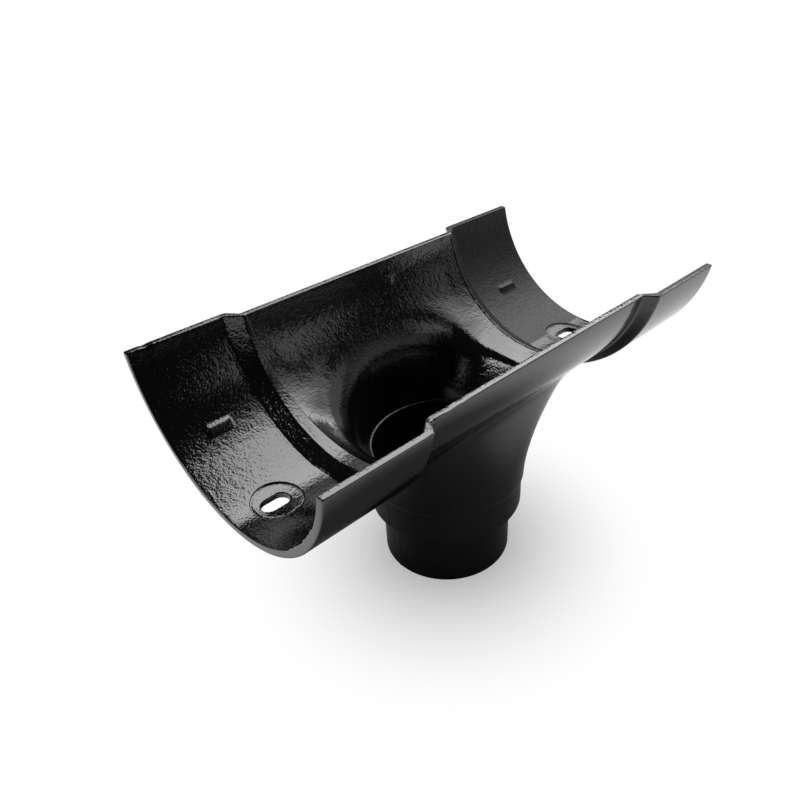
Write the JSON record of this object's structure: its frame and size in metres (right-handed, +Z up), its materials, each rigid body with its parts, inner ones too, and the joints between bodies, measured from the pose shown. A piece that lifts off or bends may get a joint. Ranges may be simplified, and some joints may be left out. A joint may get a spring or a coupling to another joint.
{
  "type": "gutter outlet",
  "caption": "Half-round gutter running outlet in cast iron: an open trough with a slotted socket at each end and a hopper narrowing to a collar and round spigot",
  "frame": {"origin": "centre of the spigot's end face, which is the middle of the underside of the bounding box", "axes": "+X along the gutter, +Y across it, +Z up the outlet's axis"},
  "size_m": [0.224, 0.1272, 0.133],
  "materials": {
    "casting": "black gloss paint over cast iron"
  },
  "bodies": {
    "root": {"gutter_outlet": "casting"}
  },
  "joints": []
}
